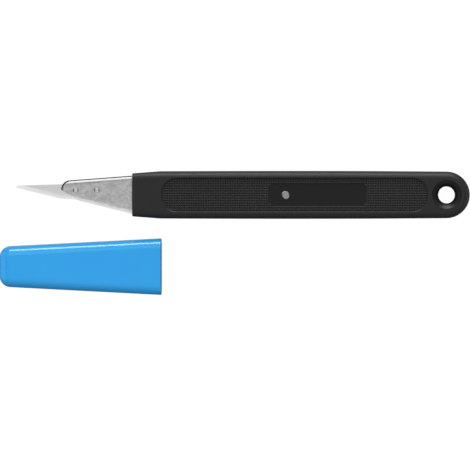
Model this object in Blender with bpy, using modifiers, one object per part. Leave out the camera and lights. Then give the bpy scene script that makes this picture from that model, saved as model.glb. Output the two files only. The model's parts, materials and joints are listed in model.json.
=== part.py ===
"""Hobby craft knife with a fixed blade, and its pull-off cap laid beside it.

The knife lies flat along X, point towards -X and hang eye towards +X. Its blade is riveted between the two
leaves of a folded sheet carrier, whose tang is pinned inside a one-piece moulded handle. The cap lies on its
own flat side, its mouth level with the place on the handle's nose where it seats when it is on.

Lengths along the knife are taken from the front face of the handle, which is x = 0 on the knife's axis.
"""

import math

import bmesh
import bpy
from mathutils import Matrix, Vector

MM = 0.001

# Handle: one moulding, barrel-shaped in plan, with a tapered nose that the cap grips
HANDLE_LENGTH = 100.6 * MM
HANDLE_HEIGHT = 14.3 * MM
HANDLE_THICKNESS = 7.0 * MM
SHOULDER_DROP = 0.24 * MM
TAIL_DROP = 0.46 * MM
NOSE_LENGTH = 8.4 * MM
NOSE_NARROWING = 1.26 * MM
NOSE_THINNING = 0.8 * MM
EDGE_RADIUS = 2.1 * MM
NOSE_CORNER_RADIUS = 1.5 * MM
NOSE_EDGE_RADIUS = 0.3 * MM

# Grip panel: a shallow recess in each broad face, set in from the edges and both ends of the handle
PANEL_SETBACK = 8.7 * MM
PANEL_TAIL_MARGIN = 12.6 * MM
PANEL_EDGE_MARGIN = 2.15 * MM
PANEL_CORNER_RADIUS = 4.7 * MM
PANEL_DEPTH = 0.5 * MM
PANEL_FILLET = 0.35 * MM

# Hang eye: a hole concentric with the round tail, with rims as round as the handle's own edges
EYE_DIAMETER = 5.05 * MM
EYE_RIM_RADIUS = 2.2 * MM

# Blade carrier: sheet folded along its back, open along its lower edge, with a tang pressed flat
SHEET_THICKNESS = 0.65 * MM
HEAD_REACH = 21.3 * MM
HEAD_BACK_INSET = 0.65 * MM
HEAD_EDGE_INSET = 0.75 * MM
HEAD_BACK_SLOPE = math.radians(4.3)
HEAD_EDGE_SLOPE = math.radians(13.9)
HEAD_FRONT_HEIGHT = 2.57 * MM
HEAD_FRONT_RADIUS = 2.5 * MM
HEAD_CUT_SLOPE = math.radians(32)
FOLD_FLAT = 0.1 * MM
HEAD_BEVEL_WIDTH = 1.25 * MM
HEAD_BEVEL_DEPTH = 0.45 * MM
HEAD_SOLID_LENGTH = 2.0 * MM
TANG_HEIGHT = 8.0 * MM
TANG_CORNER_RADIUS = 1.5 * MM
TANG_PAST_RIVET = 3.5 * MM

# Blade: flat ground steel with a small blunt tip, on a parallel tail that lies under the fold of the carrier
BLADE_THICKNESS = 0.6 * MM
BLADE_REACH = 34.56 * MM
SPINE_INSET = 0.34 * MM
SPINE_SLOPE = math.radians(1.7)
TIP_HEIGHT = 0.67 * MM
TIP_RADIUS = 0.25 * MM
EDGE_LENGTH = 13.0 * MM
EDGE_SLOPE = math.radians(13.8)
TAIL_SLOPE = math.radians(4.0)
TAIL_PAST_RIVET = 3.0 * MM
BEVEL_WIDTH = 1.25 * MM
CUTTING_EDGE = 0.06 * MM

# Rivets: two domed ones through the carrier and blade, one flush one through the handle and tang
BLADE_RIVET_SETBACK = 4.45 * MM
BLADE_RIVET_SPACING = 6.3 * MM
BLADE_RIVET_DROP = 1.76 * MM
BLADE_RIVET_DIAMETER = 1.1 * MM
BLADE_RIVET_RIM = 0.3 * MM
BLADE_RIVET_DOME = 0.17 * MM
TANG_RIVET_SETBACK = 45.7 * MM
TANG_RIVET_DIAMETER = 2.2 * MM
PUNCH_DIAMETER = 0.8 * MM
PUNCH_DEPTH = 0.15 * MM

# Cap: a shell that covers the nose of the handle over this length and tapers towards its closed end
CAP_COVER = 8.65 * MM
CAP_WALL = 1.25 * MM
CAP_TIP_ROOM = 3.74 * MM
CAP_HEIGHT_TAPER = 4.96 * MM
CAP_THICKNESS_TAPER = 2.2 * MM
CAP_EDGE_RADIUS = 3.2 * MM

# Clearances, each for one side of a fit
CAP_CLEARANCE = 0.15 * MM
BLADE_CLEARANCE = 0.06 * MM
RIVET_CLEARANCE = 0.06 * MM
TANG_CLEARANCE = 0.1 * MM

# Where the cap lies: the free strip between it and the handle
LAYOUT_GAP = 5.8 * MM

# Fineness of the facets
ARC_STEP = math.radians(10)
CROWN_STEPS = 12
TURN_STEPS = 32
ROUND_STEPS = 5
FILLET_STEPS = 2
WELD_DISTANCE = 0.001 * MM
CUT_MARGIN = 1.0 * MM
CREASE_ANGLE = math.radians(30)

# Sizes and places that follow from the ones above
SHOULDER_HEIGHT = HANDLE_HEIGHT - SHOULDER_DROP
TAIL_HEIGHT = HANDLE_HEIGHT - TAIL_DROP
NOSE_HEIGHT = SHOULDER_HEIGHT - NOSE_NARROWING
EYE_SETBACK = HANDLE_LENGTH - TAIL_HEIGHT / 2
PANEL_FLOOR = HANDLE_THICKNESS / 2 - PANEL_DEPTH
BLADE_GAP = BLADE_THICKNESS + 2 * BLADE_CLEARANCE
HEAD_THICKNESS = BLADE_GAP + 2 * SHEET_THICKNESS
HEAD_BACK = NOSE_HEIGHT / 2 - HEAD_BACK_INSET
HEAD_EDGE = HEAD_EDGE_INSET - NOSE_HEIGHT / 2
HEAD_INSIDE = SHEET_THICKNESS / math.cos(HEAD_BACK_SLOPE)
TANG_THICKNESS = 2 * SHEET_THICKNESS
CAP_LENGTH = CAP_COVER + BLADE_REACH + CAP_TIP_ROOM + CAP_WALL
CAP_MOUTH_HEIGHT = SHOULDER_HEIGHT + 2 * (CAP_CLEARANCE + CAP_WALL)
CAP_MOUTH_THICKNESS = HANDLE_THICKNESS + 2 * (CAP_CLEARANCE + CAP_WALL)
CAP_DRAFT = math.atan2(CAP_THICKNESS_TAPER / 2, CAP_LENGTH)
LANE = HANDLE_HEIGHT / 2 + LAYOUT_GAP + CAP_MOUTH_HEIGHT / 2


def clear_scene():
    for item in list(bpy.data.objects):
        bpy.data.objects.remove(item)


def make_collection(name):
    collection = bpy.data.collections.new(name)
    bpy.context.scene.collection.children.link(collection)
    return collection


def make_material(name, colour, roughness, metallic):
    material = bpy.data.materials.new(name)
    material.use_nodes = True
    shader = material.node_tree.nodes["Principled BSDF"]
    shader.inputs["Base Color"].default_value = (*colour, 1)
    shader.inputs["Roughness"].default_value = roughness
    shader.inputs["Metallic"].default_value = metallic
    return material


def make_axis(name, location, tilt=0.0):
    """An empty that carries the pieces of one body."""
    axis = bpy.data.objects.new(name, None)
    axis.empty_display_size = CAP_COVER
    axis.location = location
    axis.rotation_euler.y = tilt
    PARTS.objects.link(axis)
    return axis


def make_part(name, mesh, axis, material):
    mesh.materials.clear()
    mesh.materials.append(material)
    part = bpy.data.objects.new(name, mesh)
    part.parent = axis
    PARTS.objects.link(part)
    return part


def combine(part, name, mesh, place=None, operation="DIFFERENCE"):
    """Cuts the mesh out of the part, or joins it on. Both hang from the same axis."""
    helper = bpy.data.objects.new(name, mesh)
    helper.parent = part.parent
    helper.matrix_local = place or Matrix.Identity(4)
    helper.hide_render = True
    helper.display_type = "WIRE"
    CUTTERS.objects.link(helper)
    boolean = part.modifiers.new(name, "BOOLEAN")
    boolean.operation = operation
    boolean.solver = "EXACT"
    boolean.object = helper


def edit(mesh, change):
    """Runs change on the mesh as a bmesh and leaves its normals pointing out."""
    bm = bmesh.new()
    bm.from_mesh(mesh)
    change(bm)
    bmesh.ops.recalc_face_normals(bm, faces=bm.faces)
    bm.to_mesh(mesh)
    bm.free()


def weld(bm):
    bmesh.ops.remove_doubles(bm, verts=bm.verts, dist=WELD_DISTANCE)


def mesh_of(name, data, change_object=None):
    """The mesh that a curve or a profile makes, with its loose ends welded."""
    guide = bpy.data.objects.new(name, data)
    bpy.context.scene.collection.objects.link(guide)
    if change_object:
        change_object(guide)
    graph = bpy.context.evaluated_depsgraph_get()
    mesh = bpy.data.meshes.new_from_object(guide.evaluated_get(graph))
    bpy.data.objects.remove(guide)
    edit(mesh, weld)
    return mesh


def round_edges(bm, edges, radius, segments):
    bmesh.ops.bevel(
        bm, geom=edges, offset=radius, segments=segments, profile=0.5, affect="EDGES", clamp_overlap=True
    )


def level(edge):
    return abs(edge.verts[0].co.z - edge.verts[1].co.z) < WELD_DISTANCE


def rounded(corners):
    """Outline through corners (x, y, radius), anticlockwise, with an arc where there is a radius."""
    outline = []
    for index, (x, y, radius) in enumerate(corners):
        corner = Vector((x, y))
        if not radius:
            outline.append(corner)
            continue
        before = (Vector(corners[index - 1][:2]) - corner).normalized()
        after = (Vector(corners[(index + 1) % len(corners)][:2]) - corner).normalized()
        half_angle = before.angle(after) / 2
        centre = corner + (before + after).normalized() * radius / math.sin(half_angle)
        start = corner + before * radius / math.tan(half_angle) - centre
        turn = math.copysign(math.pi - 2 * half_angle, -before.cross(after))
        steps = max(2, round(abs(turn) / ARC_STEP))
        outline += [centre + Matrix.Rotation(turn * k / steps, 2) @ start for k in range(steps + 1)]
    return outline


def prism(name, outline, thickness):
    """Mesh of an outline in the XY plane, drawn out to both sides of z = 0, with one face at each end."""
    curve = bpy.data.curves.new(name, "CURVE")
    curve.dimensions = "2D"
    curve.fill_mode = "BOTH"
    curve.extrude = thickness / 2
    spline = curve.splines.new("POLY")
    spline.points.add(len(outline) - 1)
    for point, (x, y) in zip(spline.points, outline):
        point.co = (x, y, 0, 1)
    spline.use_cyclic_u = True
    mesh = mesh_of(name, curve)

    def merge_ends(bm):
        for end in (1, -1):
            faces = [face for face in bm.faces if face.normal.z * end > 0.99]
            bmesh.ops.dissolve_faces(bm, faces=faces)

    edit(mesh, merge_ends)
    return mesh


def turned(name, upper):
    """Mesh turned about Z, alike above and below, from (radius, z) down the upper half of its outer side."""
    profile = upper + [(radius, -z) for radius, z in upper[::-1]]
    line = bpy.data.meshes.new(name)
    points = [(radius, 0, z) for radius, z in profile]
    line.from_pydata(points, [(k, k + 1) for k in range(len(points) - 1)], [])

    def turn(guide):
        screw = guide.modifiers.new("turn", "SCREW")
        screw.steps = screw.render_steps = TURN_STEPS
        screw.use_merge_vertices = True
        screw.merge_threshold = WELD_DISTANCE

    return mesh_of(name, line, turn)


def drill(part, name, diameter, depth, place):
    hole = turned(name, [(0, depth / 2), (diameter / 2, depth / 2)])
    combine(part, name, hole, Matrix.Translation(place))


def grind(part, name, start, end, width, face_half, edge_half):
    """Grinds both flanks of a flat part down to edge_half along the line from start to end.

    Material lies on the left of that line. The flanks start this width in from it, at face_half.
    """
    along = (end - start).normalized()
    inward = Vector((-along.y, along.x, 0))
    slope = (face_half - edge_half) / width
    top = face_half + slope * width
    section = [(-width, edge_half - slope * width), (2 * width, top), (-width, top)]
    length = (end - start).length + 2 * CUT_MARGIN
    for side, flank in ((1, "upper"), (-1, "lower")):
        up = Vector((0, 0, side))
        place = Matrix((inward, up, inward.cross(up))).transposed().to_4x4()
        place.translation = (*(start + end) / 2, 0)
        combine(part, f"{flank}_{name}", prism(name, section, length), place)


def crown_half(x):
    """Half height of the handle behind its nose: highest midway, falling to the shoulder and the tail."""
    middle = (NOSE_LENGTH + EYE_SETBACK) / 2
    share = (x - middle) / (EYE_SETBACK - middle)
    drop = SHOULDER_DROP if share < 0 else TAIL_DROP
    return (HANDLE_HEIGHT - drop * share**2) / 2


def handle_outline():
    flank = [(0, NOSE_HEIGHT / 2)]
    for step in range(CROWN_STEPS + 1):
        x = NOSE_LENGTH + (EYE_SETBACK - NOSE_LENGTH) * step / CROWN_STEPS
        flank.append((x, crown_half(x)))
    steps = round(math.pi / ARC_STEP)
    turns = [math.pi * k / steps - math.pi / 2 for k in range(1, steps)]
    radius = TAIL_HEIGHT / 2
    tail = [(EYE_SETBACK + radius * math.cos(turn), radius * math.sin(turn)) for turn in turns]
    return [(x, -y) for x, y in flank] + tail + flank[::-1]


def handle_body():
    """Rounded along its long edges and its tail, sharper and thinner towards the front of its nose."""
    mesh = prism("handle", handle_outline(), HANDLE_THICKNESS)

    def sharpen_nose(bm):
        for vert in bm.verts:
            y = math.copysign(NOSE_HEIGHT / 2, vert.co.y)
            z = math.copysign(HANDLE_THICKNESS / 2, vert.co.z)
            corner = Vector((0, y, z))
            inset = vert.co - corner
            if max(abs(side) for side in inset) < EDGE_RADIUS + WELD_DISTANCE and inset.x < WELD_DISTANCE:
                vert.co = corner + inset * NOSE_CORNER_RADIUS / EDGE_RADIUS

    def shape(bm):
        def at_front(edge):
            return all(vert.co.x < WELD_DISTANCE for vert in edge.verts)

        round_edges(bm, [e for e in bm.edges if level(e) and not at_front(e)], EDGE_RADIUS, ROUND_STEPS)
        sharpen_nose(bm)
        round_edges(bm, [e for e in bm.edges if at_front(e)], NOSE_EDGE_RADIUS, FILLET_STEPS)
        everything = bm.verts[:] + bm.edges[:] + bm.faces[:]
        bmesh.ops.bisect_plane(bm, geom=everything, plane_co=(NOSE_LENGTH, 0, 0), plane_no=(1, 0, 0))
        for vert in bm.verts:
            share = max(0, 1 - vert.co.x / NOSE_LENGTH)
            vert.co.z *= 1 - share * NOSE_THINNING / HANDLE_THICKNESS

    edit(mesh, shape)
    return mesh


def panel_cutter():
    """Fills one recess and stands out of the face. Its floor is at z = 0, with a fillet round it."""
    front = PANEL_SETBACK
    rear = HANDLE_LENGTH - PANEL_TAIL_MARGIN
    half = HANDLE_HEIGHT / 2 - PANEL_EDGE_MARGIN
    radius = min(PANEL_CORNER_RADIUS, half)
    depth = PANEL_DEPTH + CUT_MARGIN
    corners = [(front, -half), (rear, -half), (rear, half), (front, half)]
    mesh = prism("panel", rounded([(x, y, radius) for x, y in corners]), depth)

    def fillet(bm):
        bmesh.ops.translate(bm, verts=bm.verts, vec=(0, 0, depth / 2))
        floor = [e for e in bm.edges if all(vert.co.z < WELD_DISTANCE for vert in e.verts)]
        round_edges(bm, floor, PANEL_FILLET, FILLET_STEPS)

    edit(mesh, fillet)
    return mesh


def eye_cutter():
    """Straight hole in the middle that widens round its rims until it runs out into both faces."""
    face = HANDLE_THICKNESS / 2
    outer = EYE_DIAMETER / 2 + EYE_RIM_RADIUS
    rim = []
    for step in range(ROUND_STEPS + 1):
        turn = math.pi / 2 * step / ROUND_STEPS
        rim.append((outer - EYE_RIM_RADIUS * math.sin(turn), face - EYE_RIM_RADIUS * (1 - math.cos(turn))))
    return turned("hang_eye", [(0, face + CUT_MARGIN), (outer, face + CUT_MARGIN)] + rim)


def tang_outline(clearance):
    """The tang or, with a clearance, the slot it sits in."""
    front = -HEAD_SOLID_LENGTH / 2
    rear = TANG_RIVET_SETBACK + TANG_PAST_RIVET + clearance
    half = TANG_HEIGHT / 2 + clearance
    radius = TANG_CORNER_RADIUS + clearance
    return rounded([(front, -half, 0), (rear, -half, radius), (rear, half, radius), (front, half, 0)])


def make_handle(axis):
    handle = make_part("handle", handle_body(), axis, BLACK_PLASTIC)
    upper = Matrix.Translation((0, 0, PANEL_FLOOR))
    combine(handle, "upper_panel", panel_cutter(), upper)
    combine(handle, "lower_panel", panel_cutter(), Matrix.Rotation(math.pi, 4, "X") @ upper)
    combine(handle, "hang_eye", eye_cutter(), Matrix.Translation((EYE_SETBACK, 0, 0)))
    slot = prism("tang_slot", tang_outline(TANG_CLEARANCE), TANG_THICKNESS + 2 * TANG_CLEARANCE)
    combine(handle, "tang_slot", slot)
    diameter = TANG_RIVET_DIAMETER + 2 * RIVET_CLEARANCE
    drill(handle, "tang_rivet_hole", diameter, HANDLE_THICKNESS, (TANG_RIVET_SETBACK, 0, 0))


def head_back(x):
    return HEAD_BACK + math.tan(HEAD_BACK_SLOPE) * x


def head_edge(x):
    return HEAD_EDGE - math.tan(HEAD_EDGE_SLOPE) * x


def spine(x):
    """Height of the blade's spine, which lies under the fold at the front of the carrier."""
    return head_back(-HEAD_REACH) - HEAD_INSIDE - SPINE_INSET + math.tan(SPINE_SLOPE) * (x + HEAD_REACH)


def blade_rivet_places():
    front = BLADE_RIVET_SETBACK - HEAD_REACH
    height = spine(-HEAD_REACH) - BLADE_RIVET_DROP
    return {
        "front_blade_rivet": Vector((front, height, 0)),
        "rear_blade_rivet": Vector((front + BLADE_RIVET_SPACING, height, 0)),
    }


def drill_for_blade_rivets(part, thickness):
    diameter = BLADE_RIVET_DIAMETER + 2 * RIVET_CLEARANCE
    for name, place in blade_rivet_places().items():
        drill(part, f"{name}_hole_in_{part.name}", diameter, thickness + CUT_MARGIN, place)


def head_mesh():
    """The carrier ahead of the handle, its fold rounded along the back and round the front corner."""
    rear = -TANG_CLEARANCE
    front = -HEAD_REACH
    cut_top = head_back(front) - HEAD_FRONT_HEIGHT
    cut_length = (cut_top - head_edge(front)) / (math.tan(HEAD_CUT_SLOPE) - math.tan(HEAD_EDGE_SLOPE))
    corners = [
        (rear, head_back(rear), 0),
        (front, head_back(front), HEAD_FRONT_RADIUS),
        (front, cut_top, 0),
        (front + cut_length, head_edge(front + cut_length), 0),
        (rear, head_edge(rear), 0),
    ]
    mesh = prism("head", rounded(corners), HEAD_THICKNESS)

    def fold(bm):
        def on_fold(edge):
            return level(edge) and all(vert.co.y > cut_top - WELD_DISTANCE for vert in edge.verts)

        radius = HEAD_THICKNESS / 2 - FOLD_FLAT
        round_edges(bm, [edge for edge in bm.edges if on_fold(edge)], radius, ROUND_STEPS)

    edit(mesh, fold)
    return mesh


def make_carrier(axis):
    carrier = make_part("blade_carrier", head_mesh(), axis, SATIN_STEEL)
    combine(carrier, "tang", prism("tang", tang_outline(0), TANG_THICKNESS), operation="UNION")
    front = -HEAD_REACH - CUT_MARGIN
    rear = -HEAD_SOLID_LENGTH
    gap = [
        (rear, head_back(rear) - HEAD_INSIDE),
        (front, head_back(front) - HEAD_INSIDE),
        (front, HEAD_EDGE - CUT_MARGIN),
        (rear, HEAD_EDGE - CUT_MARGIN),
    ]
    combine(carrier, "blade_gap", prism("blade_gap", gap, BLADE_GAP))
    below_front = Vector((-HEAD_REACH, head_edge(-HEAD_REACH)))
    at_handle = Vector((0, HEAD_EDGE))
    half = HEAD_THICKNESS / 2
    grind(carrier, "leaf_bevel", below_front, at_handle, HEAD_BEVEL_WIDTH, half, half - HEAD_BEVEL_DEPTH)
    drill_for_blade_rivets(carrier, HEAD_THICKNESS)
    diameter = TANG_RIVET_DIAMETER + 2 * RIVET_CLEARANCE
    drill(carrier, "tang_hole", diameter, TANG_THICKNESS + CUT_MARGIN, (TANG_RIVET_SETBACK, 0, 0))


def make_blade(axis):
    front = -BLADE_REACH
    tip = Vector((front, spine(front) - TIP_HEIGHT))
    heel = tip + EDGE_LENGTH * Vector((1, -math.tan(EDGE_SLOPE)))
    rear = blade_rivet_places()["rear_blade_rivet"].x + TAIL_PAST_RIVET
    tail = Vector((rear, heel.y - math.tan(TAIL_SLOPE) * (rear - heel.x)))
    corners = [
        (*tip, TIP_RADIUS),
        (*heel, 0),
        (*tail, 0),
        (rear, spine(rear), 0),
        (front, spine(front), TIP_RADIUS),
    ]
    blade = make_part("blade", prism("blade", rounded(corners), BLADE_THICKNESS), axis, BLADE_STEEL)
    for name, start, end in (("edge_bevel", tip, heel), ("tail_bevel", heel, tail)):
        grind(blade, name, start, end, BEVEL_WIDTH, BLADE_THICKNESS / 2, CUTTING_EDGE / 2)
    drill_for_blade_rivets(blade, BLADE_THICKNESS)


def make_blade_rivets(axis):
    """Shank through leaf, blade and leaf, with a low dome on each side."""
    shank = BLADE_RIVET_DIAMETER / 2
    head = shank + BLADE_RIVET_RIM
    seat = HEAD_THICKNESS / 2 + RIVET_CLEARANCE
    turns = [math.pi / 2 * k / ROUND_STEPS for k in range(ROUND_STEPS + 1)]
    dome = [(head * math.sin(turn), seat + BLADE_RIVET_DOME * math.cos(turn)) for turn in turns]
    for name, place in blade_rivet_places().items():
        rivet = make_part(name, turned(name, dome + [(shank, seat)]), axis, RIVET_STEEL)
        rivet.location = place


def make_tang_rivet(axis):
    """Solid pin, flush with the floors of both grip panels, with a punch mark in each end."""
    punch = [(0, PANEL_FLOOR - PUNCH_DEPTH), (PUNCH_DIAMETER / 2, PANEL_FLOOR)]
    pin = turned("tang_rivet", punch + [(TANG_RIVET_DIAMETER / 2, PANEL_FLOOR)])
    rivet = make_part("tang_rivet", pin, axis, RIVET_STEEL)
    rivet.location.x = TANG_RIVET_SETBACK


def cap_surface():
    """The cap's outside, open at the mouth, which is at x = 0."""
    mesh = bpy.data.meshes.new("cap")

    def shape(bm):
        bmesh.ops.create_cube(bm, size=1)
        for vert in bm.verts:
            depth = 0 if vert.co.x > 0 else 1
            half_height = (CAP_MOUTH_HEIGHT - depth * CAP_HEIGHT_TAPER) / 2
            half_thickness = (CAP_MOUTH_THICKNESS - depth * CAP_THICKNESS_TAPER) / 2
            y = math.copysign(half_height, vert.co.y)
            z = math.copysign(half_thickness, vert.co.z)
            vert.co = (-depth * CAP_LENGTH, y, z)
        away_from_mouth = [edge for edge in bm.edges if any(vert.co.x < 0 for vert in edge.verts)]
        round_edges(bm, away_from_mouth, CAP_EDGE_RADIUS, ROUND_STEPS)
        mouth = [face for face in bm.faces if all(vert.co.x > -WELD_DISTANCE for vert in face.verts)]
        bmesh.ops.delete(bm, geom=mouth, context="FACES_ONLY")

    edit(mesh, shape)
    return mesh


def make_cap(axis):
    cap = make_part("cap", cap_surface(), axis, BLUE_PLASTIC)
    wall = cap.modifiers.new("wall", "SOLIDIFY")
    wall.thickness = CAP_WALL
    wall.offset = -1
    wall.use_even_offset = True


def finish_parts():
    """Makes each part's cuts its own mesh, smooth but for creases where its faces meet at an angle."""
    graph = bpy.context.evaluated_depsgraph_get()
    parts = [item for item in PARTS.objects if item.type == "MESH"]
    meshes = [bpy.data.meshes.new_from_object(part.evaluated_get(graph)) for part in parts]
    for part, mesh in zip(parts, meshes):
        part.modifiers.clear()
        part.data = mesh
        mesh.name = part.name
        mesh.shade_smooth()
        mesh.set_sharp_from_angle(angle=CREASE_ANGLE)


def main():
    middle_x = (HANDLE_LENGTH + CAP_COVER - CAP_LENGTH) / 2
    middle_y = (HANDLE_HEIGHT / 2 - LANE - CAP_MOUTH_HEIGHT / 2) / 2
    knife_axis = make_axis("knife_axis", (-middle_x, -middle_y, HANDLE_THICKNESS / 2))
    make_handle(knife_axis)
    make_carrier(knife_axis)
    make_blade(knife_axis)
    make_blade_rivets(knife_axis)
    make_tang_rivet(knife_axis)
    cap_height = math.cos(CAP_DRAFT) * CAP_MOUTH_THICKNESS / 2
    cap_axis = make_axis("cap_axis", (CAP_COVER - middle_x, -LANE - middle_y, cap_height), -CAP_DRAFT)
    make_cap(cap_axis)
    finish_parts()


clear_scene()
PARTS = make_collection("hobby_craft_knife")
CUTTERS = make_collection("cutters")
BLACK_PLASTIC = make_material("black_plastic", (0.021, 0.021, 0.022), 0.45, 0.0)
SATIN_STEEL = make_material("satin_steel", (0.46, 0.46, 0.45), 0.38, 1.0)
BLADE_STEEL = make_material("blade_steel", (0.62, 0.62, 0.62), 0.22, 1.0)
RIVET_STEEL = make_material("rivet_steel", (0.48, 0.48, 0.47), 0.35, 1.0)
BLUE_PLASTIC = make_material("blue_plastic", (0.042, 0.34, 0.76), 0.22, 0.0)
main()
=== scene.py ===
# %% [markdown]
# # A hobby craft knife and its cap
#
# This lesson dresses a small fixed-blade knife for a product picture. The knife lies flat with its point to
# the left, and its pull-off cap lies beside it. The solids of the part are loaded first, because they fix
# where every piece sits and how large it is. Each visible piece is then modelled again with finer edges and
# textures, in the same place, and given a finish of its own.

# %% Load the frame
import json
import math

import bmesh
import bpy
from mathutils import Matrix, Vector

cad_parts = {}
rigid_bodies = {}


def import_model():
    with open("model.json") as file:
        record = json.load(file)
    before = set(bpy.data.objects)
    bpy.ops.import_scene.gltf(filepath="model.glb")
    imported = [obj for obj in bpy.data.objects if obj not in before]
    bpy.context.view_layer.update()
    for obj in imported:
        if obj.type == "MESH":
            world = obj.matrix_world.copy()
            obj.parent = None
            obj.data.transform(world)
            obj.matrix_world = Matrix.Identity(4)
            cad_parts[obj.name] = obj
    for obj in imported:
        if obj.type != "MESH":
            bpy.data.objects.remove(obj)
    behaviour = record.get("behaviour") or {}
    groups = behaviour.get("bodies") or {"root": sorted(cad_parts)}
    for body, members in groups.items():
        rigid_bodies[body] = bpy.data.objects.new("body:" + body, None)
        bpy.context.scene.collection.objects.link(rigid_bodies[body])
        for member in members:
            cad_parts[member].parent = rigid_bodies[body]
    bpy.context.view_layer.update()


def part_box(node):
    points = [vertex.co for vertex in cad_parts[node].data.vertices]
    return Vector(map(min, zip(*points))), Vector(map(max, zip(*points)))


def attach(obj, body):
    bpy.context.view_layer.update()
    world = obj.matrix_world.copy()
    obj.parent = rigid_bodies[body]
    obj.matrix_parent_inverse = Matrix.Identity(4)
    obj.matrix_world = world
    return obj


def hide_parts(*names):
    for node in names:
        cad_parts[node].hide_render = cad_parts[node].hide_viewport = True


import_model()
MM = 0.001

# %% [markdown]
# ## Where things are
#
# Most places follow from the boxes of the loaded solids. The knife's own axis runs along X through the
# middle of the handle, and lengths along the knife start at the front face of the handle, where x is 0.
# Copied numbers drift from the solids sooner or later, so the boxes are measured and not typed in.

# %% Measure the solids
HANDLE_LOW, HANDLE_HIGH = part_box("handle")
HANDLE_SIZE = HANDLE_HIGH - HANDLE_LOW
AXIS = (HANDLE_LOW + HANDLE_HIGH) / 2
AXIS.x = HANDLE_LOW.x
print("handle, in mm:", [round(side / MM, 2) for side in HANDLE_SIZE])


def on_knife(x, y=0.0, z=0.0):
    """A point given from the middle of the handle's front face."""
    return AXIS + Vector((x, y, z))


# %% [markdown]
# ## Camera
#
# The picture was taken from straight above with a long lens, so nothing seems to lean. A lens of 400 mm
# keeps the upper faces of the handle within half a pixel of where a parallel view would show them. An
# orthographic camera would do it exactly, but it wouldn't get closer or further in the other views.

# %% Set up the camera
LENS = 400
SENSOR = 36
VIEW_WIDTH = 140.15 * MM
VIEW_CENTRE = Vector((0.10, -0.63, 3.5)) * MM
SIGHT = 10

camera_data = bpy.data.cameras.new("camera")
camera_data.lens = LENS
camera_data.sensor_width = SENSOR
camera_data.clip_end = SIGHT
camera = bpy.data.objects.new("camera", camera_data)
camera.location = VIEW_CENTRE + Vector((0, 0, VIEW_WIDTH * LENS / SENSOR))
bpy.context.scene.collection.objects.link(camera)
bpy.context.scene.camera = camera
bpy.context.scene.view_settings.view_transform = "Standard"
print("camera height:", round(camera.location.z, 3), "m")

# %% [markdown]
# ## Arithmetic for shaders
#
# A finish is a small sum: a base value plus some noise, kept to one area by a mask. Built by hand it takes
# a Math node for every plus and times. The class below wraps an output socket, so that the same sum can be
# written as an expression. Numbers that never vary stay out of it and go straight on the shader's sockets.


# %% A socket that can be added and multiplied
class Signal:
    """An output socket in a node tree. Arithmetic on it adds Math nodes to that tree."""

    def __init__(self, tree, socket=None):
        self.tree = tree
        self.socket = socket

    def node(self, kind, settings, sockets, output=0):
        """Adds a node, sets it up, feeds its sockets with values or signals, and returns one output."""
        made = self.tree.nodes.new(kind)
        for name, value in settings.items():
            setattr(made, name, value)
        for key, value in sockets.items():
            if isinstance(value, Signal):
                self.tree.links.new(value.socket, made.inputs[key])
            else:
                made.inputs[key].default_value = value
        return Signal(self.tree, made.outputs[output] if made.outputs else None)

    def math(self, operation, first, second):
        return self.node("ShaderNodeMath", {"operation": operation}, {0: first, 1: second})

    def __add__(self, other):
        return self.math("ADD", self, other)

    def __sub__(self, other):
        return self.math("SUBTRACT", self, other)

    def __rsub__(self, other):
        return self.math("SUBTRACT", other, self)

    def __mul__(self, other):
        return self.math("MULTIPLY", self, other)

    def __abs__(self):
        return self.node("ShaderNodeMath", {"operation": "ABSOLUTE"}, {0: self})

    __radd__ = __add__
    __rmul__ = __mul__

    def rise(self, start, end):
        """0 at start, 1 at end, with a smooth step between. It falls where start is above end."""
        sockets = {"Value": self, "From Min": start, "From Max": end}
        return self.node("ShaderNodeMapRange", {"interpolation_type": "SMOOTHSTEP"}, sockets)

    def blend(self, low, high):
        """The colour low where this is 0 and high where it is 1."""
        sockets = {0: self, 6: (*low, 1), 7: (*high, 1)}
        return self.node("ShaderNodeMix", {"data_type": "RGBA"}, sockets, output=2)

    def axes(self):
        """The three numbers of a vector."""
        return [self.node("ShaderNodeSeparateXYZ", {}, {0: self}, output=name) for name in "XYZ"]

    def diagonal(self, other):
        """The distance over two legs at right angles."""
        return self.math("POWER", self * self + other * other, 0.5)

    def grain(self, size, stretch=(1, 1, 1), detail=2.0):
        """Noise from 0 to 1 over this place, with spots of this size, drawn out along the axes."""
        scale = tuple(1 / (size * factor) for factor in stretch)
        place = self.node("ShaderNodeMapping", {}, {"Vector": self, "Scale": scale})
        return self.node("ShaderNodeTexNoise", {}, {"Vector": place, "Scale": 1, "Detail": detail})

    def bump(self, depth):
        """A normal for the shader, from heights that go from 0 to 1 over this depth."""
        return self.node("ShaderNodeBump", {}, {"Distance": depth, "Height": self})


print("shader arithmetic is ready")

# %% [markdown]
# ## Light
#
# Black plastic and bright steel show the room more than themselves, so the room is designed for them. The
# broad faces in the picture are evenly lit, the lower edges fade and the rivets are dark to the left and
# right. That tells of a bright tent overhead that is open at both ends and dimmer on the near side, with
# paler walls some way off to the left and right. All of it is far away and even, so it is painted on the
# world instead of being built from lamps. The camera itself sees a plain pale backdrop.

# %% Paint the studio on the world
OVERHEAD = 0.68
FAR_SIDE = 0.70
FAR_FLOOR = 0.50
NEAR_SIDE = 0.38
NEAR_FLOOR = 0.15
LEFT_WALL = 0.66
RIGHT_WALL = 0.30
RIGHT_FLOOR = 0.50
LOW_WALLS = 0.36
ROOM = 0.05
BACKDROP = (0.95, 0.95, 0.95, 1)

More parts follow.
